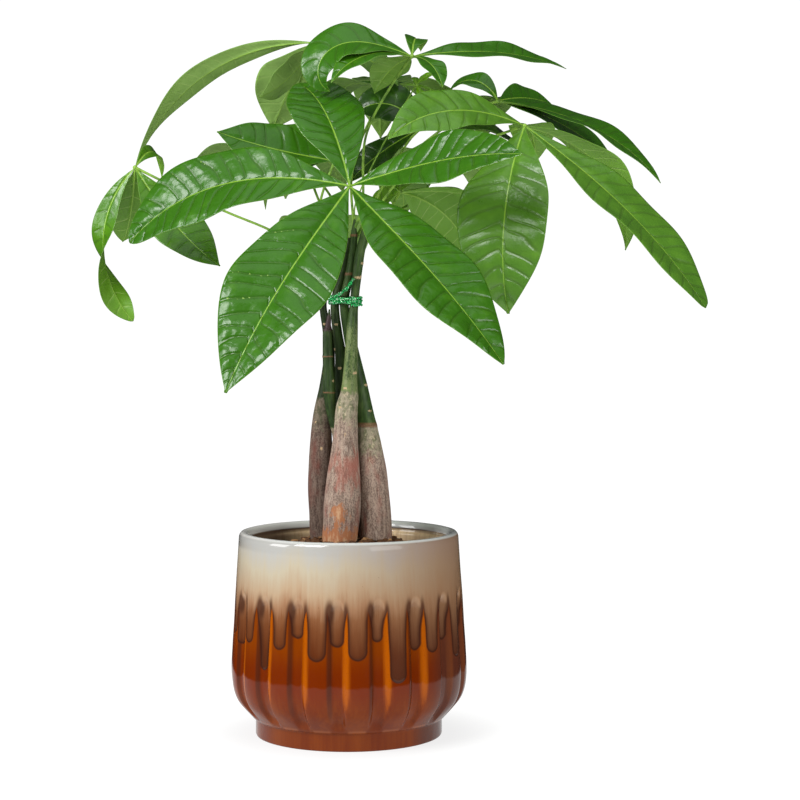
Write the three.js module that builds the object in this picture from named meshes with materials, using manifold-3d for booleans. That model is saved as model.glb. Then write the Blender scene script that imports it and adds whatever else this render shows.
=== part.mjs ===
// Potted money tree: five stems with swollen feet, loosely plaited and tied near the top, with palmate
// leaves, standing in soil in a ribbed ceramic pot. Millimetres, +Z up. The origin is the centre of the
// pot's flat underside, -Y is the front, and angles round the pot are counted from the front towards +X.
import * as THREE from 'three';
import { mergeVertices } from 'three/addons/utils/BufferGeometryUtils.js';
import Module from 'manifold-3d';

// Driving dimensions of the pot
const POT_HEIGHT = 175;
const FOOT_RADIUS = 80.1;
const FOOT_HEIGHT = 15;
const BELLY_RADIUS = 100.5;
const LIP_OUTER = 94.2;
const LIP_INNER = 85;
const INNER_WALL = 84;
const FLOOR_THICKNESS = 12;
const RIB_COUNT = 18;
const TONGUE_SHARE = 0.58; // of a rib's pitch, and the groove takes the rest
const GROOVE_DEPTH = 3;
const GROOVE_TOP = 122;
const GROOVE_FOOT = 19;
const ARCH_DROP = 9; // how much lower the groove ends at its sides than in the middle
const TONGUE_CROWN = 0.9;

// Driving dimensions of the planting
const FIT_GAP = 0.3; // between any two pieces that touch
const INNER_FLOOR = 72; // radius where the inside of the pot starts to curve up from its floor
const INNER_CURVE = 20;
const INNER_STRAIGHT = 60;
const SOIL_AT_WALL = 153;
const SOIL_AT_TRUNK = 168;
const SOIL_BUMP = 1.6;
const BLADE_THICKNESS = 0.8;
const STALK_WIDTH = 0.055; // of a leaflet's width, at its base and at its tip
const WIDEST_AT = 0.55; // of a leaflet's length, from the hub
const FOLD = 0.13; // how much the margins stand above the midrib, over half the width
const WAVE = 0.035; // of the width
const WAVES = 2.5; // along a leaflet
const BEND_POWER = 1.4; // a leaflet bends most towards its tip
const HUB_RADIUS = 3;
const HUB_DETAIL = 1;
const PETIOLE_RADIUS = 1.5;
const PETIOLE_FOOT = 2.3;
const TIE_RADIUS = 1;

const wasm = await Module();
wasm.setup();

const DEGREE = Math.PI / 180;

let seed = 7;
function draw() {
  // A small seeded generator, from 0 to 1
  seed = (seed * 16807) % 2147483647;
  return seed / 2147483647;
}

function smooth(low, high, value) {
  return THREE.MathUtils.smoothstep(value, low, high);
}

function finish(colour, roughness, metalness = 0) {
  return new THREE.MeshStandardMaterial({ color: colour, roughness, metalness });
}

// Closed shapes

function merged(geometry) {
  const plain = geometry.clone();
  plain.deleteAttribute('normal');
  plain.deleteAttribute('uv');
  return mergeVertices(plain, 1e-4);
}

function toSolid(geometry) {
  const plain = merged(geometry);
  const mesh = new wasm.Mesh({
    numProp: 3,
    vertProperties: new Float32Array(plain.attributes.position.array),
    triVerts: new Uint32Array(plain.index.array),
  });
  return new wasm.Manifold(mesh);
}

function toGeometry(solid) {
  const mesh = solid.getMesh();
  const geometry = new THREE.BufferGeometry();
  geometry.setAttribute('position', new THREE.BufferAttribute(new Float32Array(mesh.vertProperties), 3));
  geometry.setIndex(new THREE.BufferAttribute(new Uint32Array(mesh.triVerts), 1));
  geometry.computeVertexNormals();
  return geometry;
}

function largestPiece(solid) {
  const pieces = solid.decompose();
  return pieces.reduce((best, piece) => (piece.volume() > best.volume() ? piece : best));
}

function turned(profile, columns) {
  // A profile of [radius, height] turned round the Z axis, with column 0 at the front
  const points = profile.map(([radius, height]) => new THREE.Vector2(radius, height));
  return new THREE.LatheGeometry(points, columns).rotateX(Math.PI / 2);
}

const sideways = new THREE.Vector3(0.3, 0.93, 0.2).normalize(); // near to no rod's own direction

function rod(points, sides, rows, extra = 0) {
  // A round rod through [x, y, z, radius] points, made by bending a cylinder. extra swells it all over.
  const line = new THREE.CatmullRomCurve3(points.map(([x, y, z]) => new THREE.Vector3(x, y, z)));
  const radii = new THREE.CatmullRomCurve3(points.map((point) => new THREE.Vector3(point[3], 0, 0)));
  const geometry = new THREE.CylinderGeometry(1, 1, 1, sides, rows);
  const position = geometry.attributes.position;
  for (let i = 0; i < position.count; i += 1) {
    const t = THREE.MathUtils.clamp(position.getY(i) + 0.5, 0, 1);
    const tangent = line.getTangent(t);
    const across = new THREE.Vector3().crossVectors(sideways, tangent).normalize();
    const forward = new THREE.Vector3().crossVectors(tangent, across);
    const radius = radii.getPoint(t).x + extra;
    const place = line.getPoint(t)
      .addScaledVector(across, position.getX(i) * radius)
      .addScaledVector(forward, -position.getZ(i) * radius);
    if (t === 0) place.addScaledVector(tangent, -extra);
    if (t === 1) place.addScaledVector(tangent, extra);
    position.setXYZ(i, place.x, place.y, place.z);
  }
  return geometry;
}

// The pot

function ribColumns() {
  // Angles of the pot's columns, as shares of one rib: three on the tongue and three in the groove
  const edge = 0.04;
  const middle = (1 + TONGUE_SHARE) / 2;
  return [edge, TONGUE_SHARE / 2, TONGUE_SHARE - edge, TONGUE_SHARE + edge, middle, 1 - edge];
}

function relief(share, height) {
  // How far the wall stands out from the plain profile, at a share of the rib's pitch
  const across = (share - TONGUE_SHARE) / (1 - TONGUE_SHARE);
  if (across <= 0 || across >= 1) {
    const crown = Math.sin((share / TONGUE_SHARE) * Math.PI);
    return TONGUE_CROWN * crown * smooth(FOOT_HEIGHT, 40, height) * (1 - smooth(90, 150, height));
  }
  const arch = GROOVE_TOP - ARCH_DROP * (2 * across - 1) ** 2;
  const shown = smooth(GROOVE_FOOT - 3, GROOVE_FOOT + 3, height) * (1 - smooth(arch - 10, arch, height));
  return -GROOVE_DEPTH * shown;
}

const potProfile = [
  [0, 0], [FOOT_RADIUS - 1.6, 0], [FOOT_RADIUS, 1.6], [FOOT_RADIUS, FOOT_HEIGHT],
  [81.3, 16.8], [90.1, 25.6], [97, 34.3], [BELLY_RADIUS, 52], [98.1, 100], [97.5, 112],
  [97.2, GROOVE_TOP], [96, 142], [LIP_OUTER, 170.7], [92.6, 174.3], [90, POT_HEIGHT], [86, 173.8],
  [LIP_INNER, 166.5], [INNER_WALL, 165.5], [INNER_WALL, INNER_STRAIGHT], [INNER_FLOOR, INNER_CURVE],
  [0, FLOOR_THICKNESS],
];

const OUTER_WALL = [4, 5, 6, 7, 8, 9, 10, 11]; // the rows of the profile that hold the ribs

function pot() {
  const columns = ribColumns();
  const geometry = turned(potProfile, RIB_COUNT * columns.length);
  const position = geometry.attributes.position;
  const rows = potProfile.length;
  const pitch = 360 / RIB_COUNT;
  for (let i = 0; i < position.count; i += 1) {
    const column = Math.floor(i / rows) % (RIB_COUNT * columns.length);
    const row = i % rows;
    const share = columns[column % columns.length];
    const angle = (Math.floor(column / columns.length) + share) * pitch * DEGREE;
    const [radius, height] = potProfile[row];
    const reach = radius + (OUTER_WALL.includes(row) ? relief(share, height) : 0);
    position.setXYZ(i, reach * Math.sin(angle), -reach * Math.cos(angle), height);
  }
  return geometry;
}

// The stems, from foot to top, as [x, y, z, radius]

const stemLines = {
  stem_centre: [
    [-8.5, -15, 138, 8], [-8, -14.5, 156, 12.5], [-7.2, -14, 172, 15.4], [-5.4, -13, 194, 16],
    [-4.4, -12, 221, 14], [-2.6, -11, 255, 10.6], [-1.9, -10.5, 279, 9.3], [0.4, -10, 292, 7.6],
    [1.2, -9.5, 304, 6.4], [2.4, -8.5, 326, 5.6], [3.4, -6.5, 348, 4.8], [5, -4, 371, 3.7],
    [7.5, -3.5, 395, 4], [10, -2.5, 413, 4], [13.5, -0.5, 428, 3.6], [17, 1, 441, 2.6],
  ],
  stem_right: [
    [24, 3, 138, 8], [23.5, 2, 156, 12], [22.8, 1, 172, 14.4], [22, 0, 200, 13.6],
    [20.6, -0.5, 226, 12.2], [18.2, 0.5, 246, 10.4], [15.2, 3, 266, 8.6], [11.8, 5, 286, 7.2],
    [8.2, 6, 306, 6.2], [4, 6, 326, 5.4], [-0.2, 4.6, 346, 4.8], [-3.6, 2.8, 371, 3.9],
    [1, 3.4, 395, 3.8], [3.6, 4.4, 412, 3.5], [4.6, 5, 428, 2.8], [5, 5.4, 442, 1.5],
  ],
  stem_left: [
    [-22, 14, 138, 6], [-22.5, 13.5, 156, 9], [-23.2, 12.5, 176, 11.2], [-24.6, 11, 206, 10.6],
    [-24.4, 10.5, 238, 10.1], [-23.8, 12, 260, 8.6], [-22.6, 12, 280, 6.9], [-19.5, 10.6, 298, 6],
    [-17, 9.4, 320, 5.1], [-18, 7.6, 344, 4.3], [-21.9, 6, 368, 3.1], [-19, 8.5, 388, 3.5],
    [-14, 12, 410, 3.4], [-12, 14, 428, 2.6],
  ],
  stem_back_left: [
    [-3, 30, 138, 6], [-3, 29, 156, 9.4], [-3.2, 27, 176, 11.2], [-4.2, 21.5, 206, 10.6],
    [-5, 15.5, 234, 8.6], [-8.6, 6.4, 259, 6.4], [-14.2, -1.4, 277, 4.8], [-16.5, -4.6, 294, 4.9],
    [-17.2, -4.6, 312, 4.6], [-17.8, -4.4, 332, 4.2], [-18, -4.4, 347, 3.7], [-17.6, -4.4, 349.5, 2.6],
    [-16.6, -4.2, 358, 2.1], [-16.2, -4, 365, 1.1],
  ],
  stem_back_right: [
    [19, 31, 138, 6], [19, 30, 156, 9.2], [18.4, 28.5, 176, 11], [17, 26, 206, 10.4],
    [12.5, 22.5, 234, 8.6], [1, 20.5, 258, 7.4], [-5.5, 12, 281, 6.2], [-7.5, 9.5, 300, 5.4],
    [-6.6, 5.4, 322, 5], [-9.8, 5, 346, 4.2], [-11.6, 6, 371, 3.7], [-5, 10.5, 396, 4],
    [-1.6, 13, 412, 3.5], [0.4, 15, 426, 2.8],
  ],
};
const STEM_SIDES = 12;
const STEM_ROWS = 1.25; // for each step between the points
const BARK = 0x8c7364;
const GREEN_BARK = 0x46632f;
const stemColours = {
  stem_centre: BARK, stem_right: BARK, stem_left: BARK, stem_back_left: GREEN_BARK, stem_back_right: GREEN_BARK,
};

function stem(name, extra = 0) {
  const points = stemLines[name];
  return rod(points, STEM_SIDES, Math.round((points.length - 1) * STEM_ROWS), extra);
}

// The soil

function soil(stemSpaces) {
  const gap = FIT_GAP;
  const columns = 24;
  const looseEdge = 78;
  const profile = [
    [0, FLOOR_THICKNESS + gap], [INNER_FLOOR - gap, INNER_CURVE + gap], [INNER_WALL - gap, INNER_STRAIGHT],
    [INNER_WALL - gap, SOIL_AT_WALL], [72, SOIL_AT_WALL + 3.5], [58, SOIL_AT_WALL + 7],
    [44, SOIL_AT_TRUNK - 3], [30, SOIL_AT_TRUNK - 1], [15, SOIL_AT_TRUNK], [0, SOIL_AT_TRUNK],
  ];
  const geometry = merged(turned(profile, columns));
  const position = geometry.attributes.position;
  for (let i = 0; i < position.count; i += 1) {
    const radius = Math.hypot(position.getX(i), position.getY(i));
    const loose = position.getZ(i) > SOIL_AT_WALL + 1 && radius < looseEdge;
    position.setZ(i, position.getZ(i) + (loose ? (draw() - 0.5) * 2 * SOIL_BUMP : 0));
  }
  return stemSpaces.reduce((block, space) => block.subtract(space), toSolid(geometry));
}

// The tie: a foil twist wound round the four stems that reach it, with its twisted ends standing up in front

const tieLoop = [
  [2.2, -9.2], [7.2, -9.6], [11, -5], [9.4, -0.4], [-0.4, 8.5], [-9, 12.2], [-14.9, 10.1], [-16.3, 6],
  [-15, 1.2], [-6, -4.8],
];
const TIE_LOW = 368.5;
const TIE_TURNS = 2.85;
const TIE_PITCH = 2.7;
const TIE_SIDES = 5;
const TIE_ROWS = 56;
const tieTail = [[-5, -7.2, 379.5], [-1, -8.6, 383], [2, -9, 387], [4.5, -9, 391]];

function tie() {
  const loop = new THREE.CatmullRomCurve3(tieLoop.map(([x, y]) => new THREE.Vector3(x, y, 0)), true);
  const points = [];
  const steps = 24;
  for (let i = 0; i <= steps; i += 1) {
    const turn = (i / steps) * TIE_TURNS;
    const { x, y } = loop.getPoint(turn % 1);
    points.push([x, y, TIE_LOW + TIE_PITCH * turn, TIE_RADIUS]);
  }
  return rod([...points, ...tieTail.map((point) => [...point, TIE_RADIUS])], TIE_SIDES, TIE_ROWS);
}

// The leaves. Each stands on a stem at a height, reaches its hub by way of bends, and carries leaflets
// of [heading, swing, rise, droop, length, width, roll]. The heading is counted from +X towards +Y and
// turns by the swing along the leaflet, the rise is the climb at the hub and falls by the droop towards
// the tip, and the roll turns the upper face about the midrib. Degrees and millimetres. Three more numbers
// may follow: the leaflet's own bend power, how blunt its tip is, with 1 for pointed and less for rounder,
// and a twist in degrees, which adds to the roll towards the tip.

const leaves = {
  leaf_front: {
    stem: 'stem_left', at: 412, by: [[-11, -22, 452]], hub: [3, -75, 466],
    leaflets: [
      [112, 3, 57, 45, 156, 62, -14],
      [170, -5, 11.5, 60, 205, 72, -48, 1.4, 0.6, -12],
      [242, -22, -36, 27, 225, 84, -26],
      [303, 26, -31, 21, 223, 70, 20, 1.4, 0.8],
      [-28, -16, 15, 20, 170, 56, 50],
    ],
  },
  leaf_top: {
    stem: 'stem_right', at: 433, by: [[11.5, 2.6, 450], [15, 0, 512], [38, -10, 556]], hub: [54, -15, 578],
    leaflets: [
      [183, 0, 20, 178, 114, 51, -32, 2.5, 1, -25],
      [206, 1, 9, 67, 84, 30, -22],
      [84, -6, 52, 100, 60, 20, 18],
      [18, 9, 9, 26, 147, 42, 26],
      [-56, -1, -8, 61, 57, 24, 2],
      [116, 0, -3, 38, 79, 32, 12],
    ],
  },
  leaf_right: {
    stem: 'stem_centre', at: 440, by: [[50, -10, 480], [118, -27, 508]], hub: [148, -35, 518],
    leaflets: [
      [248, -3, -45, 74, 174, 80, 0],
      [204, 2, 19, 62, 133, 48, -46],
      [-37, 22, -33, 25, 222, 56, 20, 1.4, 0.45],
      [22, 0, -10, 90, 157, 54, -4],
      [80, 0, 10, 60, 98, 40, 0],
    ],
  },
  leaf_upper_right: {
    stem: 'stem_centre', at: 428, by: [[34, 20, 478], [104, 37, 536]], hub: [129, 36, 545],
    leaflets: [
      [137, 9, 54, 112, 67, 24, -32],
      [49, -6, 12, 26, 74, 34, 42],
      [32, -6, -9, 38, 150, 42, 40],
      [18, -30, -6, 48, 166, 44, 22],
      [95, 0, 15, 70, 120, 44, 0],
    ],
  },
  leaf_far_left: {
    stem: 'stem_left', at: 403, by: [[-66, 30, 432], [-111, 38, 451]], hub: [-187, 44, 488],
    leaflets: [
      [184, 0, -45, 88, 148, 32, -75, 1, 0.5, 205],
      [-33, -6, -52, -25, 131, 46, 36],
      [110, 0, -72, -50, 84, 36, 0],
      [63, 25, 44, 121, 78, 16, 44],
    ],
  },
  leaf_upper_left: {
    stem: 'stem_left', at: 427, by: [[-34, 40, 480], [-46, 54, 548]], hub: [-30, 58, 598],
    leaflets: [
      [156, 4, 3, 74, 230, 29, 42, 1.15, 1, -66],
      [124, 1, -36, 20, 102, 62, 20],
      [222, 0, -52, -30, 82, 34, 60],
      [8, 0, -8, 45, 84, 44, 40],
    ],
  },
  leaf_left_middle: {
    stem: 'stem_left', at: 420, by: [[-24, 2, 452]], hub: [-12, 0, 491],
    leaflets: [
      [172, 8, 10, -10, 104, 54, -48],
      [159, -50, 10, 82, 105, 40, -60],
      [138, -1, 31, 24, 90, 34, -30],
    ],
  },
  leaf_lower_right: {
    stem: 'stem_centre', at: 417, by: [[30, 22, 443]], hub: [44, 45, 467],
    leaflets: [
      [49, 0, -7, 60, 129, 56, -40],
      [119, -2, -13, -2, 75, 34, -60],
      [10, 0, 5, 40, 120, 46, 0],
      [88, 0, 20, 70, 118, 46, 0],
    ],
  },
  leaf_centre: {
    stem: 'stem_right', at: 421, by: [[26, 26, 466], [52, 52, 512]], hub: [62, 60, 523],
    leaflets: [
      [171, 0, 55, 105, 70, 46, -50],
      [129, -2, -22, -3, 78, 42, -50],
      [186, 0, -28, 22, 80, 34, -40],
      [20, 0, 10, 50, 110, 44, 20],
    ],
  },
  leaf_young: {
    stem: 'stem_right', at: 441, by: [[6, 13, 456], [42, 20, 530]], hub: [58, 15, 557], scale: 0.6,
    leaflets: [
      [180, 0, 10, 40, 12, 5, 0],
      [100, 0, 50, 30, 13, 6, 0],
      [15, 0, 45, 30, 20, 9, 30],
      [-15, 0, -10, 50, 22, 9, 0],
      [-60, 0, -45, 30, 18, 8, 0],
    ],
  },
  leaf_back_left: {
    stem: 'stem_back_right', at: 417, by: [[-16, 48, 462]], hub: [-55, 110, 505],
    leaflets: [
      [95, 0, 20, 85, 150, 56, 0],
      [140, 0, 15, 80, 150, 56, 0],
      [180, 0, -8, 60, 98, 42, 0],
      [62, 0, 15, 80, 110, 46, 0],
    ],
  },
  leaf_back_right: {
    stem: 'stem_back_right', at: 425, by: [[28, 66, 444], [62, 104, 466]], hub: [85, 120, 500],
    leaflets: [
      [60, 0, 6, 80, 150, 56, 0],
      [105, 0, 20, 85, 150, 56, 0],
      [140, 0, 15, 80, 90, 40, 0],
      [18, 0, 0, 70, 100, 44, 0],
    ],
  },
  leaf_back_low: {
    stem: 'stem_back_right', at: 407, by: [[-20, 48, 434]], hub: [-32, 100, 448],
    leaflets: [
      [66, 0, 5, 60, 110, 44, 0],
      [100, 0, 5, 60, 130, 50, 0],
      [125, 0, -30, 40, 80, 34, 0],
    ],
  },
  leaf_back_top: {
    stem: 'stem_right', at: 429, by: [[3, 36, 488]], hub: [30, 80, 560],
    leaflets: [
      [92, 0, 24, 95, 150, 56, 0],
      [48, 0, 20, 90, 105, 46, 0],
      [128, 0, 20, 90, 120, 46, 0],
    ],
  },
};

const SEGMENT_ENDS = [0, 0.07, 0.19, 0.34, 0.5, 0.66, 0.82, 1];
const PHASE_STEP = 1.7; // radians between the waves of one leaflet and the next
const PETIOLE_SIDES = 5;
const PETIOLE_ROWS = 2.5; // for each point of its route

function leafletWidth(along, blunt) {
  // Half the width, as a share of half the widest
  const power = Math.log(0.5) / Math.log(WIDEST_AT);
  const share = Math.max(0, Math.sin(Math.PI * along ** power));
  return Math.max(STALK_WIDTH, along > WIDEST_AT ? share ** blunt : share);
}

function midrib(hub, heading, swing, rise, droop, length, bend) {
  // The place, the direction and the way an unrolled blade faces, at each segment's end
  const stations = [];
  const place = new THREE.Vector3(...hub);
  const fine = 12;
  let direction = null;
  let level = null;
  SEGMENT_ENDS.forEach((along, index) => {
    const before = index ? SEGMENT_ENDS[index - 1] : 0;
    for (let i = 0; i < fine; i += 1) {
      const v = before + ((along - before) * (i + 0.5)) / fine;
      const climb = (rise - droop * v ** bend) * DEGREE;
      const bearing = (heading + swing * v) * DEGREE;
      direction = new THREE.Vector3(
        Math.cos(climb) * Math.cos(bearing), Math.cos(climb) * Math.sin(bearing), Math.sin(climb));
      level = new THREE.Vector3(
        -Math.sin(climb) * Math.cos(bearing), -Math.sin(climb) * Math.sin(bearing), Math.cos(climb));
      place.addScaledVector(direction, (length * (along - before)) / fine);
    }
    stations.push({ along, place: place.clone(), direction, level });
  });
  return stations;
}

function leaflet(hub, sizes, phase) {
  // A thin closed blade with a folded midrib, split into triangles alike on both faces
  const [heading, swing, rise, droop, length, width, roll, bend = BEND_POWER, blunt = 1, twist = 0] = sizes;
  const stations = midrib(hub, heading, swing, rise, droop, length, bend);
  const vertices = [];
  const triangles = [];
  stations.forEach(({ along, place, direction, level }) => {
    const facing = level.clone().applyAxisAngle(direction, (roll + twist * along ** 2) * DEGREE);
    const across = new THREE.Vector3().crossVectors(direction, facing);
    const share = leafletWidth(along, blunt);
    const half = (share * width) / 2;
    for (const top of [1, -1]) {
      for (const side of [-1, 0, 1]) {
        const wave = WAVE * width * Math.sin(2 * Math.PI * WAVES * along + phase + side) * share;
        const lift = side ? FOLD * half + wave : 0;
        const point = place.clone()
          .addScaledVector(across, side * half)
          .addScaledVector(facing, lift + (top * BLADE_THICKNESS) / 2);
        vertices.push(point.x, point.y, point.z);
      }
    }
  });
  const face = (a, b, c, d) => triangles.push(a, b, c, a, c, d);
  const ring = 6; // three points on the upper face, then three on the lower one
  for (let i = 0; i < stations.length - 1; i += 1) {
    const here = i * ring;
    const next = here + ring;
    face(here, here + 1, next + 1, next);
    face(here + 1, here + 2, next + 2, next + 1);
    triangles.push(here + 3, next + 4, here + 4, here + 3, next + 3, next + 4);
    triangles.push(here + 4, next + 5, here + 5, here + 4, next + 4, next + 5);
    face(here + 3, here, next, next + 3);
    face(here + 2, here + 5, next + 5, next + 2);
  }
  const last = (stations.length - 1) * ring;
  face(3, 4, 1, 0);
  face(4, 5, 2, 1);
  face(last, last + 1, last + 4, last + 3);
  face(last + 1, last + 2, last + 5, last + 4);
  const geometry = new THREE.BufferGeometry();
  geometry.setAttribute('position', new THREE.Float32BufferAttribute(vertices, 3));
  geometry.setIndex(triangles);
  return geometry;
}

function stemPlace(name, height) {
  // The point of a stem's centre line at a height
  const line = new THREE.CatmullRomCurve3(stemLines[name].map(([x, y, z]) => new THREE.Vector3(x, y, z)));
  let low = 0;
  let high = 1;
  while (high - low > 1e-4) {
    const middle = (low + high) / 2;
    if (line.getPoint(middle).z < height) low = middle;
    else high = middle;
  }
  return line.getPoint(low).toArray();
}

function leaf({ stem: carrier, at, by, hub, leaflets, scale = 1 }, carrierSpace) {
  const foot = stemPlace(carrier, at);
  const thin = PETIOLE_RADIUS * scale;
  const route = [[...foot, PETIOLE_FOOT * scale], ...by.map((point) => [...point, thin]), [...hub, thin]];
  let solid = toSolid(rod(route, PETIOLE_SIDES, Math.round(PETIOLE_ROWS * route.length)));
  const knob = new THREE.OctahedronGeometry(HUB_RADIUS * scale, HUB_DETAIL).translate(...hub);
  solid = solid.add(toSolid(knob));
  leaflets.forEach((sizes, index) => {
    solid = solid.add(toSolid(leaflet(hub, sizes, index * PHASE_STEP)));
  });
  return largestPiece(solid.subtract(carrierSpace));
}

// Assembly

const tree = new THREE.Group();

function place(name, geometry, material) {
  const mesh = new THREE.Mesh(geometry, material);
  mesh.name = name;
  tree.add(mesh);
}

place('pot', pot(), finish(0x8a4a22, 0.2));
const stemSpaces = {};
for (const name of Object.keys(stemLines)) {
  stemSpaces[name] = toSolid(stem(name, FIT_GAP));
  place(name, stem(name), finish(stemColours[name], 0.8));
}
place('soil', toGeometry(soil(Object.values(stemSpaces))), finish(0x2b1d14, 1));
place('tie', tie(), finish(0x1f8a3a, 0.25, 0.8));
for (const [name, growth] of Object.entries(leaves)) {
  place(name, toGeometry(leaf(growth, stemSpaces[growth.stem])), finish(0x3f7d22, 0.35));
}

export default tree;
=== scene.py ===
# Potted money tree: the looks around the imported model, in Blender 4.5. Lengths in the tables are in
# millimetres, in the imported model's own frame: +Z up, -Y to the front, the origin under the pot.
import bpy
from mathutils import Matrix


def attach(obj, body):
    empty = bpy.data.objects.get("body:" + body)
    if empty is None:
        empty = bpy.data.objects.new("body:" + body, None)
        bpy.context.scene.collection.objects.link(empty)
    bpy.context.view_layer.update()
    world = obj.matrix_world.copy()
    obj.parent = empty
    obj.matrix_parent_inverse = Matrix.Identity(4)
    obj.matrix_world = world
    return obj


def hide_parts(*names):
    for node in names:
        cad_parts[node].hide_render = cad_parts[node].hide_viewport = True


bl_info = {
    "name": "Potted money tree",
    "version": (1, 0, 0),
    "blender": (4, 5, 0),
    "location": "View3D > Sidebar > Money tree",
    "description": "Glazed pot, soil, plaited stems, foil tie and palmate leaves around the packed model",
    "category": "Object",
}

import math

import bpy
import numpy as np
from mathutils import Vector

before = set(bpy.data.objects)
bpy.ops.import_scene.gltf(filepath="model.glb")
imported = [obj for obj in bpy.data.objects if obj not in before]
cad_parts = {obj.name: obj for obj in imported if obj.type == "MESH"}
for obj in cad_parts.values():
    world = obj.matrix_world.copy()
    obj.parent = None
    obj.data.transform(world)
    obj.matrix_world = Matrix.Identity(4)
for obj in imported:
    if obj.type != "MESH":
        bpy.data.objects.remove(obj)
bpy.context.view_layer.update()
MM = 0.001
SAME_PLACE = 1e-4
SIDEWAYS = (0.3, 0.93, 0.2)
BODY = "root"


# Small helpers for numbers

def srgb(red, green, blue):
    """A colour given as 0 to 255, in Blender's linear values."""
    return tuple(c / 3294.6 if c <= 10.31 else ((c / 255 + 0.055) / 1.055) ** 2.4 for c in (red, green, blue))


def smooth(low, high, value):
    """0 at low, 1 at high and a smooth way between, or the reverse where low is the greater."""
    t = np.clip((np.asarray(value, float) - low) / (high - low), 0, 1)
    return t * t * (3 - 2 * t)


def bell(offset, width, power=2):
    """1 in the middle, falling to nearly 0 at twice the width."""
    return np.exp(-(np.abs(offset / width) ** power))


def around(count):
    """Even turns round a circle, in radians."""
    return np.arange(count) / count * 2 * np.pi


def off_turn(turn, middle=0):
    """How far a turn lies from another one, from -180 to 180 degrees."""
    return (turn - middle + 180) % 360 - 180


def points_of(x, y, z):
    """Points from their coordinates, each of which may be one number, a row or a column."""
    return np.stack(np.broadcast_arrays(x, y, z), -1)


def turned(radius, turn, height):
    """Points at a radius and a height, turned from the front towards +X by radians."""
    return points_of(radius * np.sin(turn), -radius * np.cos(turn), height)


def climbing(climb, bearing):
    """Steps of length 1 that climb and bear from +X towards +Y by radians."""
    return points_of(np.cos(climb) * np.cos(bearing), np.cos(climb) * np.sin(bearing), np.sin(climb))


def unit(vectors):
    return vectors / np.maximum(np.linalg.norm(vectors, axis=-1, keepdims=True), 1e-9)


def uneven(points, size, seed):
    """A smooth wavering between about -1 and 1 over a surface, with lumps of a size in millimetres."""
    draw = np.random.default_rng(seed)
    waves = 10
    ways = unit(draw.normal(size=(waves, 3))) * draw.uniform(0.6, 1.6, (waves, 1)) * (2 * np.pi / size)
    turns = draw.uniform(0, 2 * np.pi, waves)
    return np.sin(np.asarray(points) @ ways.T * 0.5 + turns).sum(-1) / math.sqrt(waves) * 0.8


def smooth_line(knots, steps, closed=False):
    """Points of the centripetal Catmull-Rom line that the solids follow too, at steps from 0 to 1."""
    knots = np.asarray(knots, float)
    knots = knots[:, None] if knots.ndim == 1 else knots
    count = len(knots)
    spans = count if closed else count - 1
    if closed:
        padded = np.vstack([knots[-1], knots, knots[:2]])
    else:
        padded = np.vstack([2 * knots[0] - knots[1], knots, 2 * knots[-1] - knots[-2]])
    place = np.asarray(steps, float) * spans
    span = np.minimum(place.astype(int), spans - 1)
    w = (place - span)[:, None]
    p0, p1, p2, p3 = near = [padded[span + i] for i in range(4)]
    d0, d1, d2 = (np.sqrt(np.linalg.norm(b - a, axis=1, keepdims=True)) for a, b in zip(near, near[1:]))
    d1 = np.where(d1 < SAME_PLACE, 1, d1)
    d0 = np.where(d0 < SAME_PLACE, d1, d0)
    d2 = np.where(d2 < SAME_PLACE, d1, d2)
    m1 = ((p1 - p0) / d0 - (p2 - p0) / (d0 + d1) + (p2 - p1) / d1) * d1
    m2 = ((p2 - p1) / d1 - (p3 - p1) / (d1 + d2) + (p3 - p2) / d2) * d1
    return p1 + m1 * w + (3 * (p2 - p1) - 2 * m1 - m2) * w**2 + (2 * (p1 - p2) + m1 + m2) * w**3


# Meshes

def grid(rows, columns):
    """The quads between neighbouring points of closed rings."""
    row, column = np.meshgrid(np.arange(rows - 1), np.arange(columns), indexing="ij")
    here = row * columns + column
    beside = row * columns + (column + 1) % columns
    return np.stack([here, beside, beside + columns, here + columns], -1).reshape(-1, 4)


def volume(points, quads):
    """More than 0 where the quads of a closed skin face outwards."""
    a, b, c, d = (points[quads[:, i]] for i in range(4))
    return (a * (np.cross(b, c) + np.cross(c, d))).sum()


def put(name, data):
    """A new object in the scene."""
    made = bpy.data.objects.new(name, data)
    bpy.context.scene.collection.objects.link(made)
    return made


class Shape:
    """Closed parts gathered into one mesh, in millimetres, with named values on every point."""

    def __init__(self, *names):
        self.points = []
        self.faces = []
        self.values = {name: [] for name in names}
        self.count = 0

    def add(self, rings, caps=None, **values):
        """Joins closed rings of points into a skin, with one face over each end unless caps are given."""
        rows, sides = rings.shape[:2]
        quads = grid(rows, sides)
        points = rings.reshape(-1, 3)
        outward = volume(points - points.mean(0), quads) > 0
        caps = caps or [range(sides)[::-1], range((rows - 1) * sides, rows * sides)]
        faces = [*quads.tolist(), *map(list, caps)]
        self.faces += [[i + self.count for i in (face if outward else face[::-1])] for face in faces]
        self.points.append(points)
        for name, store in self.values.items():
            store.append(np.broadcast_to(values.get(name, 0), (rows, sides)).astype(float).ravel())
        self.count += len(points)

    def piece(self, name, material, nodes, flat=False):
        """Makes the object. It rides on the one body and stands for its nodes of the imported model."""
        mesh = bpy.data.meshes.new(name)
        mesh.from_pydata((np.vstack(self.points) * MM).tolist(), [], self.faces)
        for key, store in self.values.items():
            layer = mesh.attributes.new(key, "FLOAT", "POINT")
            layer.data.foreach_set("value", np.concatenate(store))
        mesh.polygons.foreach_set("use_smooth", [not flat] * len(mesh.polygons))
        mesh.materials.append(material)
        mesh.update()
        made = put(name, mesh)
        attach(made, BODY)
        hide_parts(*nodes)


def ball(rows, columns, pole):
    """Rings round a ball of radius 1, which start and end at an angle from its poles."""
    return climbing(np.linspace(np.pi / 2 - pole, pole - np.pi / 2, rows)[:, None], around(columns))


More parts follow.
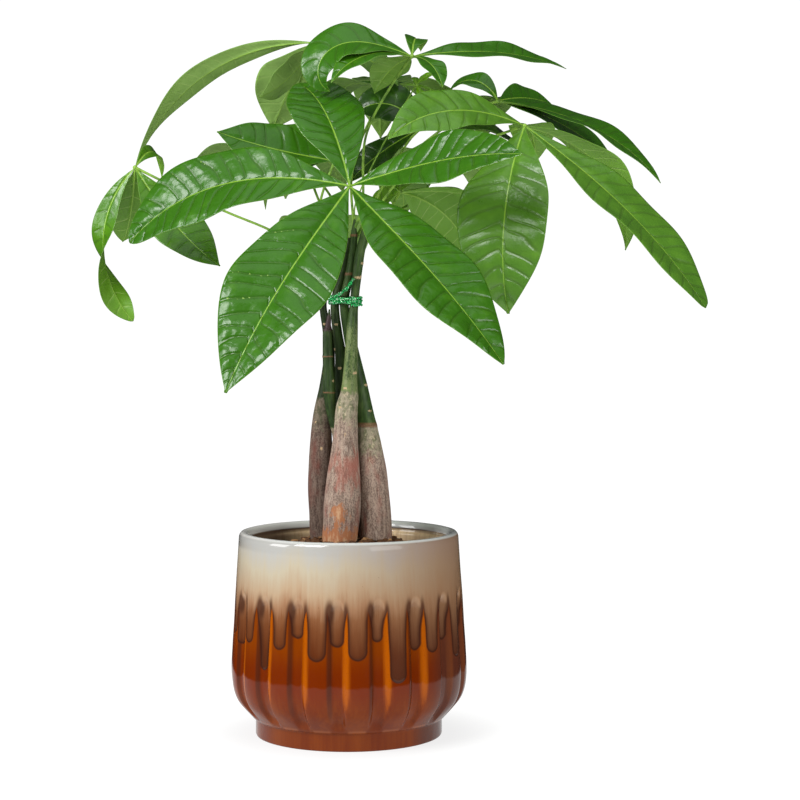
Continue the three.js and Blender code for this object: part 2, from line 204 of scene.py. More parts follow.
def rod_points(line, radius, sides):
    """Rings round a line. radius holds one number a ring, or one for each point of it."""
    tangent = unit(np.gradient(line, axis=0))
    across = unit(np.cross(SIDEWAYS, tangent))
    forward = np.cross(tangent, across)
    turn = around(sides)[:, None]
    spokes = across[:, None] * np.sin(turn) - forward[:, None] * np.cos(turn)
    return line[:, None] + spokes * np.reshape(radius, (len(line), -1, 1))


# Shader maths

class Value:
    """A number in a material. Arithmetic on it adds Math nodes."""

    def __init__(self, finish, socket):
        self.finish = finish
        self.socket = socket

    def math(self, operation, *others):
        return self.finish.read(0, "Math", {"operation": operation}, dict(enumerate((self, *others))))

    def __add__(self, other):
        return self.math("ADD", other)

    def __sub__(self, other):
        return self.math("SUBTRACT", other)

    def __rsub__(self, other):
        return (self * -1) + other

    def __mul__(self, other):
        return self.math("MULTIPLY", other)

    __radd__ = __add__
    __rmul__ = __mul__


class Nodes:
    """Adds nodes to a node tree."""

    def __init__(self, tree):
        self.tree = tree

    def feed(self, socket, value):
        if isinstance(value, Value):
            value = value.socket
        if isinstance(value, bpy.types.NodeSocket):
            self.tree.links.new(value, socket)
        elif socket.type == "RGBA" and len(value) == 3:
            socket.default_value = (*value, 1)
        else:
            socket.default_value = value

    def node(self, kind, settings=(), sockets=()):
        made = self.tree.nodes.new("ShaderNode" + kind)
        for key, value in dict(settings).items():
            if key == "stops":
                self.stops(made.color_ramp, value)
            else:
                setattr(made, key, value)
        for key, value in dict(sockets).items():
            self.feed(made.inputs[key], value)
        return made

    def read(self, output, kind, settings=(), sockets=()):
        """One output of a new node, as a value for shader maths."""
        return Value(self, self.node(kind, settings, sockets).outputs[output])

    def stops(self, ramp, stops):
        while len(ramp.elements) < len(stops):
            ramp.elements.new(1)
        for element, (place, colour) in zip(ramp.elements, stops):
            element.position = place
            element.color = (*colour, 1)


class Finish(Nodes):
    """A material with one glossy shader."""

    def __init__(self, name, **sockets):
        self.material = bpy.data.materials.new(name)
        self.material.use_nodes = True
        super().__init__(self.material.node_tree)
        self.shader = self.tree.nodes["Principled BSDF"]
        self.set(**sockets)

    def set(self, **sockets):
        """Sets or links the shader's sockets, named with _ for each space."""
        for name, value in sockets.items():
            self.feed(self.shader.inputs[name.replace("_", " ")], value)

    def value(self, name):
        """A value that the mesh holds on its points."""
        return self.read("Fac", "Attribute", {"attribute_name": name})

    def place(self, tall=1):
        """The place on the object in metres. A tall below 1 draws out a pattern along the height."""
        start = self.node("TexCoord").outputs["Object"]
        return self.node("VectorMath", {"operation": "MULTIPLY"}, {0: start, 1: (1, 1, tall)}).outputs[0]

    def height(self):
        """The height over the ground, in millimetres."""
        return self.read("Z", "SeparateXYZ", (), {0: self.place()}) * (1 / MM)

    def noise(self, size, detail=3, tall=1, roughness=0.55):
        """Noise with lumps of a size in millimetres."""
        lumps = {"Vector": self.place(tall), "Scale": 1 / MM / size, "Detail": detail, "Roughness": roughness}
        return self.read("Fac", "TexNoise", (), lumps)

    def cells(self, size, feature="F1"):
        """The distance in a pattern of cells of a size in millimetres."""
        sockets = {"Vector": self.place(), "Scale": 1 / MM / size}
        return self.read("Distance", "TexVoronoi", {"feature": feature}, sockets)

    def step(self, value, low, high):
        """0 below low, 1 above high and a smooth way between, or the reverse where low is the greater."""
        sockets = {"Value": value, "From Min": low, "From Max": high}
        return self.read(0, "MapRange", {"interpolation_type": "SMOOTHSTEP"}, sockets)

    def ramp(self, value, stops):
        return self.node("ValToRGB", {"stops": stops}, {0: value}).outputs["Color"]

    def mix(self, factor, first, second, blend="MIX"):
        """Mixes two colours."""
        settings = {"data_type": "RGBA", "blend_type": blend}
        return self.node("Mix", settings, {0: factor, 6: first, 7: second}).outputs[2]

    def layers(self, base, *coats):
        """Lays colours over a first one, each as thickly as its factor says."""
        for factor, coat in coats:
            base = self.mix(factor, base, coat)
        return base

    def bump(self, height, distance, normal=None):
        """A bump of a height in millimetres, on top of another one where that is given."""
        sockets = {"Height": height, "Distance": distance * MM, "Strength": 1}
        if normal is not None:
            sockets["Normal"] = normal
        return self.node("Bump", (), sockets).outputs[0]


# Settings that a user would change

def colour(name, description, red, green, blue):
    return bpy.props.FloatVectorProperty(
        name=name, description=description, subtype="COLOR", min=0, max=1, default=srgb(red, green, blue))


def length(name, description, millimetres):
    return bpy.props.FloatProperty(
        name=name, description=description, unit="LENGTH", min=0, default=millimetres * MM)


def share(name, description, default, most=1.0):
    return bpy.props.FloatProperty(
        name=name, description=description, subtype="FACTOR", min=0, max=most, default=default)


def power(name, watts):
    return bpy.props.FloatProperty(name=name, description="Its power", unit="POWER", min=0, default=watts)


class PotSettings(bpy.types.PropertyGroup):
    rim: colour("Rim glaze", "At the rim", 172, 171, 167)
    upper: colour("Upper glaze", "Below the rim", 180, 169, 147)
    drip: colour("Drips", "Their milky brown", 108, 62, 34)
    edge: colour("Drip edge", "The line round each drip", 52, 26, 18)
    # Painted shade: the colour laid over the pot's right side and the inside wall's left, where shade falls
    smoke: colour("Painted shade", "The haze over one side", 134, 99, 71)
    # Partly the glaze's colour, partly a painted highlight on the ridges' lit left edges
    amber_and_highlight: colour("Amber glaze", "On the ridges", 160, 77, 1)
    deep: colour("Deep glaze", "In the flats", 106, 35, 0)
    # Painted shade at the right of each tongue, whose wall faces away from the light
    shade: colour("Dark bands", "At the right of each tongue", 66, 30, 16)
    foot: colour("Foot glaze", "On the lower belly and the foot", 104, 40, 6)
    inside: colour("Inside", "Inside the pot", 252, 220, 176)
    gloss: share("Roughness", "How rough the glaze is", 0.07)


class SoilSettings(bpy.types.PropertyGroup):
    mix: colour("Potting mix", "The dark crumbs", 44, 32, 24)
    chip: colour("Bark chips", "The bits of bark", 112, 78, 52)
    chips: bpy.props.IntProperty(
        name="Chips", description="How many lie on the soil", min=0, default=420)


class StemSettings(bpy.types.PropertyGroup):
    bark: colour("Bark", "The bark's ridges", 176, 154, 138)
    dark: colour("Dark bark", "The bark's furrows", 108, 88, 78)
    tan: colour("Peeling bark", "The tan and orange patches", 172, 112, 76)
    red: colour("Red bark", "The reddish patches", 158, 88, 74)
    green: colour("Green stem", "The smooth young stem", 68, 96, 42)
    pale: colour("Scars", "The cream scars and pores", 196, 166, 128)


class TieSettings(bpy.types.PropertyGroup):
    foil: colour("Foil", "The tie's metallic green", 56, 214, 118)
    width: length("Width", "The foil strip's width", 3.4)


class LeafSettings(bpy.types.PropertyGroup):
    upper: colour("Upper face", "Of a grown leaf", 50, 104, 8)
    dark: colour("Dark face", "Of a leaf in the shade", 30, 66, 5)
    young: colour("Young face", "Of a young leaf", 108, 164, 14)
    under: colour("Underside", "The pale lower face", 118, 160, 62)
    rib: colour("Midrib", "The midrib and the stalk", 136, 178, 58)
    thickness: length("Thickness", "The thickness of a blade", 0.7)
    quilt: share("Quilting", "The swelling between the veins, as a share of the width", 0.016, 0.1)
    gloss: share("Roughness", "How rough the upper face is", 0.29)


class StageSettings(bpy.types.PropertyGroup):
    floor: colour("Floor", "The pale floor", 246, 246, 246)
    reach: length("Floor radius", "From the pot's axis", 1600)
    glow: share("Floor glow", "The floor's own light, which keeps its shadows faint", 1.05, 2)
    key: power("Main light", 46)
    front: power("Front light", 22)
    left: power("Left light", 10)
    top: power("Top light", 5)


# The pot

RIB_COUNT = 18
BELLY_STEP = 1.5
PITCH = 360 / RIB_COUNT
TONGUE_SHARE = 0.58
GROOVE_DEPTH = 3
GROOVE_TOP = 131
GROOVE_FOOT = 21
ARCH_DROP = 11
RELIEF_FOOT = 16.4, 22
RELIEF_TOP = 132, 160
TONGUE_CROWN = 0.9
CROWN_FOOT = 17, 36
CROWN_TOP = 96, 150
TONGUE_COLUMNS = [0, 0.012, 0.03, 0.055, 0.09, 0.15, 0.22, 0.29, 0.36, 0.43, 0.49, 0.525, 0.55, 0.568]
GROOVE_COLUMNS = [0.58, 0.592, 0.61, 0.63, 0.655, 0.69, 0.74, 0.79, 0.84, 0.885, 0.92, 0.945, 0.967, 0.986]
FOOT_PROFILE = [
    [1, 0], [78.5, 0], [79.6, 0.4], [80.1, 1.6], [80.1, 14.2], [80.4, 15], [81.6, 15.5], [82.9, 16.4],
]
BELLY_PROFILE = [
    [82.9, 16.4], [84.6, 18.4], [90.3, 25], [95.6, 32.4], [98.8, 40.5], [100.5, 53], [99.7, 76], [98.1, 100],
    [97.2, 122], [96, 142], [94.2, 169.6],
]
LIP_PROFILE = [
    [94.1, 171], [93.5, 172.9], [92.2, 174.4], [90, 175], [87.8, 174.6], [86.2, 173.4], [85.4, 171.4],
    [85.1, 170.2], [85, 169.2], [85, 168.6], [84.9, 166.2], [84.4, 165.6], [83.8, 165], [83.6, 163],
]
INNER_PROFILE = [[83.6, 155], [83.8, 130], [84, 60], [80, 38], [72, 20], [60, 13], [30, 12], [1, 12]]
LIP_FOOT = 169
# The drips from the front towards +X and round the back: [the middle's turn in degrees, half the width at
# the low end, the low end's height over the ground]
DRIPS = [
    [-73.6, 4.4, 92], [-66.4, 5.4, 84], [-55.6, 5.9, 88], [-44.6, 4.0, 67], [-33.8, 5.9, 86],
    [-24.6, 4.9, 96], [-14.0, 7.4, 78.5], [-4.3, 5.4, 90], [5.6, 7.4, 79.5], [15.4, 4.4, 94],
    [25.2, 6.9, 60], [35.8, 5.0, 85], [45.4, 6.1, 82], [55.6, 4.6, 90], [65.8, 6.4, 74], [75.9, 4.5, 94],
    [85.6, 6.9, 82], [95.8, 5.1, 88], [105.4, 6.7, 70], [115.9, 4.6, 92], [125.6, 7.2, 84], [135.6, 5.0, 96],
    [145.7, 6.4, 76], [155.9, 4.4, 90], [165.4, 7.2, 86], [175.8, 5.0, 72], [185.6, 6.7, 88],
    [195.8, 4.7, 94], [205.5, 7.3, 66], [215.9, 5.1, 90], [225.6, 6.4, 82], [235.7, 4.6, 95],
    [245.4, 6.9, 76], [255.8, 5.0, 88], [265.6, 6.7, 84], [275.9, 4.6, 92],
]
DRIP_TOP = 119
# The heights between which the pale glaze's colour goes from the drips' dark ends to the rim
PALE_LOW = 55
PALE_SPAN = 120


def bend_line(profile, spacing):
    """A smooth line through a profile's points, with points about a spacing apart."""
    fine = smooth_line(profile, np.linspace(0, 1, 400))
    run = np.concatenate([[0], np.cumsum(np.linalg.norm(np.diff(fine, axis=0), axis=1))])
    at = np.linspace(0, run[-1], round(run[-1] / spacing) + 1)
    return np.stack([np.interp(at, run, fine[:, i]) for i in range(2)], -1)


def groove_place(share_):
    """How far across the groove a share of the rib's pitch lies, from 0 to 1, and the groove's top there."""
    across = (share_ - TONGUE_SHARE) / (1 - TONGUE_SHARE)
    return across, GROOVE_TOP - ARCH_DROP * np.abs(2 * across - 1) ** 2.4


def relief(share_, height):
    """How far the wall stands out from the plain profile, at a share of the rib's pitch."""
    crown = np.sin(np.clip(share_ / TONGUE_SHARE, 0, 1) * np.pi) ** 0.6
    crown = TONGUE_CROWN * crown * smooth(*CROWN_FOOT, height) * (1 - smooth(*CROWN_TOP, height))
    across, arch = groove_place(share_)
    wall = smooth(-0.04, 0.3, across) * (1 - smooth(0.72, 1.02, across))
    foot = GROOVE_FOOT - 3 * across
    shown = smooth(foot - 4, foot + 5, height) * (1 - smooth(arch - 12, arch, height))
    return crown - GROOVE_DEPTH * wall * shown


def drip_distance(turn, height, radius):
    """The distance in millimetres inside the pale glaze's running edge, less than 0 in the clear glaze."""
    middles = np.array([drip[0] for drip in DRIPS])
    best = -1e3
    for index, (middle, half, end) in enumerate(DRIPS):
        before = (middle - middles[index - 1]) % 360
        after = (middles[(index + 1) % len(DRIPS)] - middle) % 360
        off = off_turn(turn, middle)
        reach = np.radians(np.where(off < 0, before, after)) / 2 * radius
        sideways = np.radians(np.abs(off)) * radius
        over = height - end - half
        rise = np.clip(over / (DRIP_TOP - end - half), 0, 1.6)
        wide = half + (reach - half) * (0.25 * rise + 0.75 * rise**3)
        best = np.maximum(best, np.where(over < 0, half - np.hypot(sideways, over), wide - sideways))
    return np.clip(best, -20, 20)


def glaze_finish(look):
    made = Finish("glaze", Roughness=look.gloss, Specular_IOR_Level=0.28, Coat_Roughness=0.03)
    mix, step, noise, value = made.mix, made.step, made.noise, made.value
    height = made.height()
    waver = noise(9, 3, 0.3) - 0.5
    streak = noise(2.2, 4, 0.02)
    broad = noise(22, 3, 0.2)
    smoke = value("smoke")
    inner = value("inside")
    edge = value("drip") + waver * 1.4
    level = height + waver * 10 + (streak - 0.5) * 14 + (broad - 0.5) * 26
    soft = step(edge, 4.2, 0.0) * step(height, 128, 108)
    shadow = value("cusp") * (streak * 0.6 + 0.7) + (waver + broad - 0.5) * 0.35
    pale = made.layers(
        made.ramp((level - PALE_LOW) * (1 / PALE_SPAN), [
            (0.08, srgb(74, 32, 12)), (0.24, srgb(88, 42, 18)), (0.4, look.drip), (0.48, srgb(124, 80, 51)),
            (0.56, srgb(153, 116, 87)), (0.65, srgb(173, 148, 120)), (0.8, look.upper), (0.95, look.rim)]),
        # Painted shade over the pale glaze on the pot's right side
        (smoke * 0.85, mix(step(level, 75, 130), srgb(80, 46, 32), look.smoke)),
        (soft * 0.75, srgb(68, 36, 22)),
        (step(shadow, 0.12, 0.95) * 0.85, srgb(70, 40, 28)),
        # Painted highlight at the tops of the groove arches
        (step(value("arch") + waver * 0.4, 0.35, 0.9) * 0.2, srgb(190, 156, 122)))
    # The amber is partly the glaze's colour and partly a painted highlight on each tongue's lit left edge
    amber_and_highlight = step(value("ridge") + (streak - 0.5) * 0.7, 0.3, 0.9)
    # Painted shade at the right of each tongue
    band = step(value("band") + (streak - 0.5) * 0.3, 0.25, 0.95)
    base = made.layers(
        look.foot,
        (step(streak * 0.4 + broad, 0.5, 0.95) * 0.6, srgb(136, 66, 10)),
        # The painted shade bands carry on over the lower belly
        (band * 0.5, srgb(84, 42, 30)))
    clear = made.layers(
        look.deep,
        (step(height + waver * 10, 64, 94), srgb(122, 52, 1)),
        (amber_and_highlight, look.amber_and_highlight),
        (band * 0.7, look.shade),
        (step(noise(0.9, 4), 0.6, 0.72) * amber_and_highlight, srgb(126, 52, 2)),
        (step(height + waver * 22, 58, 34) * 0.8 * (1 - amber_and_highlight * 0.7), base),
        # Painted shade over the clear glaze on the pot's right side
        (step(smoke, 0.72, 0.93) * 0.8, srgb(78, 44, 33)))
    line = step(edge, -1.1, -0.1) * step(edge, 1.3, 0.3) * step(height, 121, 112)
    lining = made.layers(
        # Painted shade on the inside wall at the left, where the rim keeps the light off
        look.inside, (step(streak, 0.4, 0.7) * 0.4, srgb(200, 152, 104)), (smoke * 0.9, srgb(62, 38, 25)))
    body = made.layers(
        clear,
        (step(edge, -0.5, 0.4), pale),
        (line * 0.75, look.edge),
        # Painted highlight along the lower edges of the lobes
        (value("sill") * 0.35, srgb(176, 108, 72)),
        (value("lip") * 0.75, srgb(224, 225, 224)),
        (inner, lining),
        (value("step"), srgb(70, 44, 28)),
        (step(made.cells(11), 0.045, 0.02) * 0.6, srgb(84, 52, 36)))
    made.set(Base_Color=body, Roughness=noise(30, 2) * 0.05 + inner * 0.35 + (look.gloss - 0.025))
    made.set(Coat_Weight=step(height, LIP_FOOT - 7, LIP_FOOT - 3) * (1 - step(smoke, 0.0, 0.4)))
    raised = made.bump(step(edge, -0.8, 2.4) * step(height, 124, 108), 0.22)
    made.set(Normal=made.bump(noise(15, 2, 0.5), 0.4, raised))
    return made.material


class MONEYTREE_OT_pot(bpy.types.Operator):
    """Makes the ribbed pot with its drip glaze"""
    bl_idname = "moneytree.pot"
    bl_label = "Make the pot"

    def execute(self, context):
        turn = (np.arange(RIB_COUNT)[:, None] + np.array(TONGUE_COLUMNS + GROOVE_COLUMNS)).ravel() * PITCH
        share_ = (turn / PITCH) % 1
        belly = bend_line(BELLY_PROFILE, BELLY_STEP)
        profile = np.vstack([FOOT_PROFILE, belly[1:-1], LIP_PROFILE, INNER_PROFILE])
        radius, height = profile[:, :1], profile[:, 1:]
        outside = (np.arange(len(profile)) < len(FOOT_PROFILE) + len(belly))[:, None]
        swell = relief(share_, height) * outside
        swell = swell * smooth(*RELIEF_FOOT, height) * (1 - smooth(*RELIEF_TOP, height))
        lean = unit(np.gradient(profile, axis=0))
        reach = radius + swell * np.abs(lean[:, 1:])
        rings = turned(reach, np.radians(turn), height - swell * np.maximum(lean[:, :1], 0))
        from_ridge = np.minimum(share_, 1 - share_) * PITCH
        from_band = np.abs(share_ - TONGUE_SHARE - 0.02) * PITCH
        across, arch = groove_place(share_)
        signed = off_turn(turn)
        # Painted shade: the outside darkens towards the right, away from the main light
        right_shade = smooth(-30, 75, signed) * (1 - smooth(125, 178, signed))
        # Painted shade: the inside wall darkens at the left back, where the rim keeps the light off
        inside_left_shade = smooth(-178, -125, signed) * (1 - smooth(-90, -20, signed))
        values = {
            "drip": drip_distance(turn, height, radius),
            # Partly a painted highlight on the lit left edge of each tongue
            "ridge": bell(from_ridge, 2.3) * smooth(14, 56, height),
            # Painted shade at the right of each tongue
            "band": bell(from_band, 1.5) * smooth(20, 36, height),
            "cusp": (bell(from_ridge, 1.4) + 1.3 * bell(from_band, 2.1)) * bell(height - DRIP_TOP + 1, 10),
            # Painted highlight at the tops of the groove arches
            "arch": bell(height - arch + 4, 4) * smooth(0.1, 0.3, across) * smooth(1, 0.8, across),
            "smoke": np.where(outside, right_shade, inside_left_shade),
            "inside": ~outside & (height <= LIP_FOOT),
            "step": bell(height - LIP_FOOT, 0.7) * ~outside,
            # Painted highlight along the lobes' lower edges
            "sill": bell(height - 17, 1.3) * smooth(0, 0.08, share_) * smooth(0.6, 0.5, share_),
            "lip": ~outside & (height > LIP_FOOT),
        }
        shape = Shape(*values)
        shape.add(rings, **values)
        shape.piece("glazed_pot", glaze_finish(context.scene.moneytree_pot), ["pot"])
        return {"FINISHED"}


# The soil

SOIL_PROFILE = [[0, 168], [15, 168], [30, 167], [44, 165], [58, 160], [72, 156.5], [83.7, 153]]
SOIL_EDGE = 83.6
SOIL_SKIRT = [[40.0], [150.0]]
SOIL_RINGS = 84
SOIL_SIDES = 180
SOIL_SEED = 11
LUMP_SEED = 3
CRUMB_SEED = 4
CHIP_REACH = 80
CHIP_ROWS = 5
CHIP_SIDES = 7


def soil_height(radius):
    return np.interp(radius, *np.transpose(SOIL_PROFILE))


def soil_finish(look):
    made = Finish("potting_mix", Roughness=0.95, Specular_IOR_Level=0.2)
    mix, step, noise, value = made.mix, made.step, made.noise, made.value
    crumbs = made.cells(3.5)
    grain = noise(1.5, 5)
    dirt = made.layers(
        srgb(26, 18, 14),
        (step(grain, 0.35, 0.7), look.mix),
        (step(crumbs, 0.55, 0.2) * 0.5, srgb(66, 48, 36)))
    fibre = made.layers(
        look.chip,
        (noise(2.5, 4, 0.4), srgb(70, 46, 32)),
        (step(value("tone"), 0.7, 0.9), srgb(168, 128, 88)))
    made.set(Base_Color=mix(value("chip"), dirt, fibre), Normal=made.bump(grain + crumbs * -1, 1.2))
    return made.material


class MONEYTREE_OT_soil(bpy.types.Operator):
    """Makes the crumbly soil with bits of bark on it"""
    bl_idname = "moneytree.soil"
    bl_label = "Make the soil"

    def execute(self, context):
        look = context.scene.moneytree_soil
        draw = np.random.default_rng(SOIL_SEED)
        shape = Shape("chip", "tone")
        radius = np.linspace(SOIL_EDGE, 0.5, SOIL_RINGS)[:, None]
        turn = around(SOIL_SIDES)
        ground = turned(radius, turn, 0.0)
        bumps = uneven(ground, 9, LUMP_SEED) * 0.9 + uneven(ground, 3.4, CRUMB_SEED) * 0.7
        ground[..., 2] = soil_height(radius) + bumps * smooth(84, 80, radius)
        shape.add(np.concatenate([turned(SOIL_EDGE, turn, np.array(SOIL_SKIRT)), ground]))
        for _ in range(look.chips):
            away = CHIP_REACH * math.sqrt(draw.uniform())
            angle = draw.uniform(0, 2 * np.pi)
            size = np.array([draw.uniform(2, 6.5), draw.uniform(1.5, 3.5), draw.uniform(0.7, 1.8)])
            height = soil_height(away) + draw.uniform(0, 1.6)
            self.chip(shape, np.array([away * np.cos(angle), away * np.sin(angle), height]), size, draw)
        shape.piece("potting_soil", soil_finish(look), ["soil"], flat=True)
        return {"FINISHED"}

    def chip(self, shape, middle, size, draw):
        """A lumpy splinter of bark, lying at any turn."""
        lump = ball(CHIP_ROWS, CHIP_SIDES, 0.25) * draw.uniform(0.75, 1.2, (CHIP_ROWS, CHIP_SIDES, 1)) * size
        spin, tip = draw.uniform(0, 2 * np.pi), draw.normal(0, 0.35)
        tilt = np.array([[1, 0, 0], [0, np.cos(tip), -np.sin(tip)], [0, np.sin(tip), np.cos(tip)]])
        swing = np.array([[np.cos(spin), -np.sin(spin), 0], [np.sin(spin), np.cos(spin), 0], [0, 0, 1]])
        shape.add(lump @ (swing @ tilt).T + middle, chip=1, tone=draw.uniform())


# The stems: the height where bark gives way to green, over what length, how much painted shade darkens it,
# its ring scars and pores as [height, turn from the front in degrees, the mark's height, its width in
# degrees], and its line from foot to top as [x, y, z, radius]

STEMS = {
    "stem_centre": (294, 9, 0, [
        [259, 0, 1.3, 13], [251, 22, 1.3, 11], [311, 45, 1.2, 60], [298, -29, 1.3, 34], [282, -37, 1.2, 26],
        [392, 30, 1.8, 110], [404, 60, 1.5, 80]], [
        [-8.5, -15, 138, 8], [-8, -14.5, 156, 12.5], [-7.2, -14, 172, 15.4], [-5.4, -13, 194, 16],
        [-4.4, -12, 221, 14], [-2.6, -11, 255, 10.6], [-1.9, -10.5, 279, 9.3], [0.4, -10, 292, 7.6],
        [1.2, -9.5, 304, 6.4], [2.4, -8.5, 326, 5.6], [3.4, -6.5, 348, 4.8], [5, -4, 371, 3.7],
        [7.5, -3.5, 395, 4], [10, -2.5, 413, 4], [13.5, -0.5, 428, 3.6], [17, 1, 441, 2.6],
    ]),
    "stem_right": (266, 3, 0.05, [
        [266, 0, 3.0, 360], [278, 40, 1.1, 40], [300, 60, 1.2, 50], [334, 60, 1.2, 50], [395, 20, 1.8, 360],
        [428, 0, 1.6, 360]], [
        [24, 3, 138, 8], [23.5, 2, 156, 12], [22.8, 1, 172, 14.4], [22, 0, 200, 13.6],
        [20.6, -0.5, 226, 12.2], [18.2, 0.5, 246, 10.4], [15.2, 3, 266, 8.6], [11.8, 5, 286, 7.2],
        [8.2, 6, 306, 6.2], [4, 6, 326, 5.4], [-0.2, 4.6, 346, 4.8], [-3.6, 2.8, 371, 3.9],
        [1, 3.4, 395, 3.8], [3.6, 4.4, 412, 3.5], [4.6, 5, 428, 2.8], [5, 5.4, 442, 1.5],
    ]),
    "stem_left": (288, 6, 0.8, [
        [245.7, 5, 1.5, 17], [268, -40, 1.2, 20], [310, -30, 1.3, 50], [346, 20, 2.4, 90],
        [352, 0, 1.2, 90]], [
        [-22, 14, 138, 6], [-22.5, 13.5, 156, 9], [-23.2, 12.5, 176, 11.2], [-24.6, 11, 206, 10.6],
        [-24.4, 10.5, 238, 10.1], [-23.8, 12, 260, 8.6], [-22.6, 12, 280, 6.9], [-19.5, 10.6, 298, 6],
        [-17, 9.4, 320, 5.1], [-18, 7.6, 344, 4.3], [-21.9, 6, 368, 3.1], [-19, 8.5, 388, 3.5],
        [-14, 12, 410, 3.4], [-12, 14, 428, 2.6],
    ]),
    "stem_back_left": (263, 4, 0.4, [[294, 0, 0.9, 360], [324.7, 0, 0.9, 360], [304, 60, 1.2, 40]], [
        [-3, 30, 138, 6], [-3, 29, 156, 9.4], [-3.2, 27, 176, 11.2], [-4.2, 21.5, 206, 10.6],
        [-5, 15.5, 234, 8.6], [-8.6, 6.4, 259, 6.4], [-14.2, -1.4, 277, 4.8], [-16.5, -4.6, 294, 4.9],
        [-17.2, -4.6, 312, 4.6], [-17.8, -4.4, 332, 4.2], [-18, -4.4, 347, 3.7], [-17.6, -4.4, 349.5, 2.6],
        [-16.6, -4.2, 358, 2.1], [-16.2, -4, 365, 1.1],
    ]),
    "stem_back_right": (250, 12, 0.6, [
        [330.6, -75, 1.4, 60], [314.5, -13, 1.4, 50], [352, 0, 1.2, 70], [372, 0, 1.2, 360]], [
        [19, 31, 138, 6], [19, 30, 156, 9.2], [18.4, 28.5, 176, 11], [17, 26, 206, 10.4],
        [12.5, 22.5, 234, 8.6], [1, 20.5, 258, 7.4], [-5.5, 12, 281, 6.2], [-7.5, 9.5, 300, 5.4],
        [-6.6, 5.4, 322, 5], [-9.8, 5, 346, 4.2], [-11.6, 6, 371, 3.7], [-5, 10.5, 396, 4],
        [-1.6, 13, 412, 3.5], [0.4, 15, 426, 2.8],
    ]),
}
STEM_SIDES = 56
STEM_ROWS = 230
FINE_ROWS = 2400
FINE_SEED = 20
BROAD_SEED = 30
CUT_TOP = 347
TOP_TAPER = 0.4


def stem_line(name, rows):
    points = np.array(STEMS[name][-1], float)
    steps = np.linspace(0, 1, rows)
    return smooth_line(points[:, :3], steps), smooth_line(points[:, 3], steps)[:, 0]


def bark_finish(look):
    made = Finish("bark", Roughness=0.8, Specular_IOR_Level=0.3)
    mix, step, noise, value = made.mix, made.step, made.noise, made.value
    stipple = noise(0.8, 4, 0.5, 0.65)
    grain = noise(2.4, 6, 0.12, 0.65)
    flakes = noise(4.5, 5, 0.45, 0.7)
    peel = value("peel") + (flakes - 0.5) * 2.2
    streaks = noise(2.6, 4, 0.2) + noise(6, 3, 0.5) - 1
    film = value("film") + (flakes + stipple - 1) * 1.8
    moss = mix(step(noise(3, 4, 0.6), 0.42, 0.6), srgb(164, 156, 132), srgb(104, 116, 80))
    bark = made.layers(
        look.dark,
        (step(stipple * 0.55 + grain * 0.45, 0.4, 0.6), look.bark),
        (step(noise(12, 4, 0.5), 0.48, 0.72) * 0.45, look.red),
        (step(flakes, 0.56, 0.68) * 0.5, srgb(194, 178, 162)),
        (step(peel, 0.45, 0.7), look.tan),
        (step(peel + (grain - 0.5) * 2, 0.8, 1.3) * 0.7, srgb(206, 170, 134)),
        (step(value("blush") + streaks * 2.2, 0.3, 1.1) * 0.55, look.red),
        (step(film, 0.4, 0.9) * 0.7, moss))
    skin = made.layers(
        srgb(36, 56, 26),
        (step(grain, 0.3, 0.75), look.green),
        (step(noise(7, 3, 0.4), 0.45, 0.75) * 0.45, srgb(96, 116, 62)),
        (step(film, 0.4, 1.0) * 0.6, srgb(134, 146, 92)))
    young = step(value("green") + (flakes - 0.5) * 1.4, 0.35, 0.65)
    fleck = step(noise(3.2, 4), 0.56, 0.66) * step(film, 0.25, 0.7) * (1 - value("green") * 0.8)
    body = made.layers(bark, (young, skin), (fleck * 0.6, srgb(206, 190, 158)))
    body = made.layers(
        mix(value("shade"), body, srgb(150, 142, 140), "MULTIPLY"),
        (step(value("scar") + (grain + stipple - 1) * 1.1, 0.4, 0.8) * 0.85, look.pale),
        (step(value("ring") + (stipple - 0.5) * 0.8, 0.4, 0.9) * 0.75, srgb(126, 86, 62)),
        (value("dead"), srgb(62, 44, 46)))
    rough = stipple * 0.35 + grain * 0.45 + flakes * 0.5
    made.set(Base_Color=body, Roughness=0.86 - young * 0.4, Normal=made.bump(rough * (1 - young * 0.85), 0.9))
    return made.material


